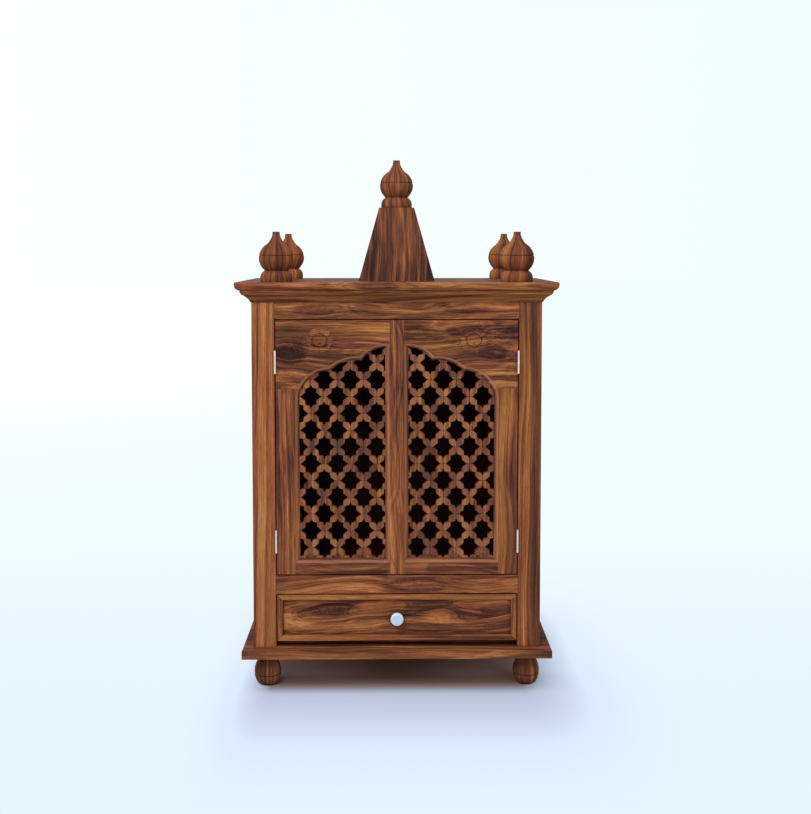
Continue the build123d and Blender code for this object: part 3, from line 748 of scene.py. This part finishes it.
def rail_flower(side, sign):
    """A carved rosette with leaves on the top rail of one door."""
    x0, z0 = FLOWER_CENTRE
    seat = FRONT_Y + CARVING_SEAT

    def cup(margin):
        return ellipse((x0, z0 + CUP_UP), CUP_HALF_WIDTH + margin, CUP_HALF_HEIGHT + margin, 0, 24)

    parts = []
    for across, up, turn in LEAVES:
        outline = ellipse((x0 + across, z0 + up), 8.0, 3.6, math.radians(turn), 12, 0.35)
        parts.append(carve("leaf", outline, seat, 0.9, LEAF_STEPS))
    for across, up, half_width, half_height, turn, rise in FLOWER:
        outline = ellipse((x0 + across, z0 + up), half_width, half_height, math.radians(turn), 18)
        lobe = carve("lobe", outline, seat, rise + 0.4, LOBE_STEPS)
        apply_boolean(lobe, carve("cup", cup(1.4), FRONT_Y + 2, 8), "DIFFERENCE")
        parts.append(lobe)
    parts.append(carve("ground", cup(2.0), seat, 0.5))
    parts.append(carve("bowl", cup(0.0), seat, 1.2, CUP_STEPS))
    parts.append(carve("bud", ellipse((x0, z0 + BUD_UP), 2.4, 1.9, 0, 12), seat, 1.6, ((0.7, 0.4),)))
    flower = join(parts, f"{side}_door_flower")
    move_mesh(flower, Matrix.Diagonal((sign, 1, 1, 1)))

    # Cut from the rail itself, so the grain is the rail's, a little lighter
    rail = f"{side}_door_top_rail"
    grain, tone, figure = WOOD[rail]
    seed = list(WOOD).index(rail)
    # Depths between which the flower's valleys get painted shade
    valley_shade_depths = (FRONT_Y - 0.9, FRONT_Y + 0.1)
    wood = rosewood(
        f"wood_{side}_flower", grain, centre_of(rail), seed, tone + 0.10, figure, KNOTS[rail], valley_shade_depths=valley_shade_depths
    )
    finish_carving(flower, wood, side)


for side, sign, seed in (("left", -1, 41), ("right", 1, 42)):
    lattice_petals(side, sign, seed)
for side, sign in (("left", -1), ("right", 1)):
    rail_flower(side, sign)


def shadow_floor_colour(finish, across, depth, fade):
    """The floor's colour with a painted shadow under the cabinet, brown from the wood above and darkest just
    behind its front edge, and pale round it.
    """
    beside = across.maths("ABSOLUTE")
    # Painted shadow under the cabinet, browner in the middle
    ends = beside.band(0.0, 0.2) * (1 - depth.band(0.07, 0.13))
    under_shadow = finish.blend("MIX", ends, FLOOR_UNDER_SHADOW, FLOOR_UNDER_SHADOW_ENDS)
    pale = finish.blend("MIX", fade, FLOOR, FLOOR_UNSEEN)
    under_shadow_mask = (1 - beside.band(0.24, 0.31)) * (1 - depth.band(0.12, SHADOW_HALF_DEPTH))
    colour = finish.blend("MIX", under_shadow_mask, pale, under_shadow)
    # Painted shadow, darkest just behind the cabinet's front edge
    front_shadow = depth.ridge(0.06, 0.11, 0.13, 0.19) * 0.45
    return finish.blend("MULTIPLY", front_shadow, colour, BLACK)


def glowing_floor_colour(finish, across, away):
    """The floor's colour as it is seen: a darker, bluer painted shade near the cabinet, and the backdrop's
    far from it.
    """
    # Painted shade near the cabinet, fading out away from it
    colour = finish.blend("MIX", away.band(0.0, 0.55), NEAR_FLOOR_SHADE, MIDDLE_FLOOR)
    colour = finish.blend("MIX", finish.coordinate("Y").band(-0.3, 1.2), colour, FAR_FLOOR)
    backdrop = finish.blend("MIX", across.band(-1.5, 1.5), BACKDROP_LEFT, BACKDROP_RIGHT)
    return finish.blend("MIX", finish.length(finish.point()).band(0.8, 5.0), colour, backdrop)


def studio_floor():
    """A pale floor that keeps the shadow near the cabinet and fades into the backdrop."""
    bpy.ops.object.select_all(action="DESELECT")
    bpy.ops.mesh.primitive_plane_add(size=60, location=(0, 0, 0))
    floor = bpy.context.object
    floor.name = "studio_floor"
    finish = Finish("studio_floor")
    finish.surface.inputs["Roughness"].default_value = 0.85
    finish.surface.inputs["Specular IOR Level"].default_value = 0.0
    across = finish.coordinate("X")
    depth = finish.coordinate("Y").maths("ABSOLUTE")

    # Away from the cabinet the floor glows, sooner at the side that the light comes from
    beside = (across.maths("ABSOLUTE") - SHADOW_HALF_WIDTH).maths("MAXIMUM", 0.0)
    beside = beside * (3.6 - across.band(-0.1, 0.1) * 1.8)
    before = (depth - SHADOW_HALF_DEPTH).maths("MAXIMUM", 0.0)
    away = (beside * beside + before * before) ** 0.5
    fade = (away * 4.6).maths("MINIMUM", 1.0) ** 0.75

    finish.feed(finish.surface.inputs["Base Color"], shadow_floor_colour(finish, across, depth, fade))
    colour = glowing_floor_colour(finish, across, away)
    glow = finish.add("ShaderNodeEmission", inputs={"Color": colour, "Strength": 1.0})
    shown = fade * finish.background_rays()
    surface = Wire(finish, finish.surface.outputs["BSDF"])
    mixed = finish.add("ShaderNodeMixShader", inputs={0: shown, 1: surface, 2: glow})
    finish.feed(finish.tree.nodes["Material Output"].inputs["Surface"], mixed)
    floor.data.materials.append(finish.material)


def studio_sky():
    """A pale light from all round, stronger in front, seen as a pale backdrop."""
    world = bpy.data.worlds.new("studio")
    bpy.context.scene.world = world
    world.use_nodes = True
    sky = NodeMaker(world.node_tree)
    direction = sky.add("ShaderNodeTexCoord", output="Generated")
    strength = sky.add("ShaderNodeMapRange", inputs={
        "Value": sky.part(direction, "Y"),
        "From Min": 0.3,
        "From Max": -0.8,
        "To Min": SKY_BEHIND,
        "To Max": SKY_BEFORE,
    })
    right = sky.add("ShaderNodeMapRange", inputs={
        "Value": sky.part(direction, "X"),
        "From Min": -0.35,
        "From Max": 0.35,
    })
    backdrop = sky.blend("MIX", right, BACKDROP_LEFT, BACKDROP_RIGHT)
    light = sky.add("ShaderNodeBackground", inputs={"Color": DAYLIGHT, "Strength": strength})
    shown = sky.add("ShaderNodeBackground", inputs={"Color": backdrop, "Strength": 1.0})
    mixed = sky.add("ShaderNodeMixShader", inputs={0: sky.background_rays(), 1: light, 2: shown})
    sky.feed(sky.tree.nodes["World Output"].inputs["Surface"], mixed)


def studio_lamp(name, place, size, power, target=(0, 0, 0.5)):
    """A soft square lamp that points at the middle of the cabinet."""
    lamp = bpy.data.lights.new(name, "AREA")
    lamp.shape = "SQUARE"
    lamp.size = size
    lamp.energy = power
    holder = bpy.data.objects.new(name, lamp)
    holder.location = place
    holder.rotation_euler = (Vector(target) - Vector(place)).to_track_quat("-Z", "Y").to_euler()
    bpy.context.collection.objects.link(holder)


def studio_camera():
    """The photograph's view."""
    lens = bpy.data.cameras.new("camera")
    lens.lens = LENS
    lens.sensor_width = SENSOR_WIDTH
    lens.shift_y = CAMERA_SHIFT_Y
    camera = bpy.data.objects.new("camera", lens)
    camera.location = CAMERA_PLACE
    camera.rotation_euler = Euler((math.pi / 2 - CAMERA_PITCH, 0, -CAMERA_YAW), "XYZ")
    bpy.context.collection.objects.link(camera)
    bpy.context.scene.camera = camera


studio_floor()
studio_sky()
studio_lamp("key", (-1.1, -2.3, 2.6), 1.5, 71)
studio_lamp("fill", (2.0, -2.4, 1.2), 2.0, 12)
studio_camera()
bpy.context.scene.view_settings.view_transform = "Standard"
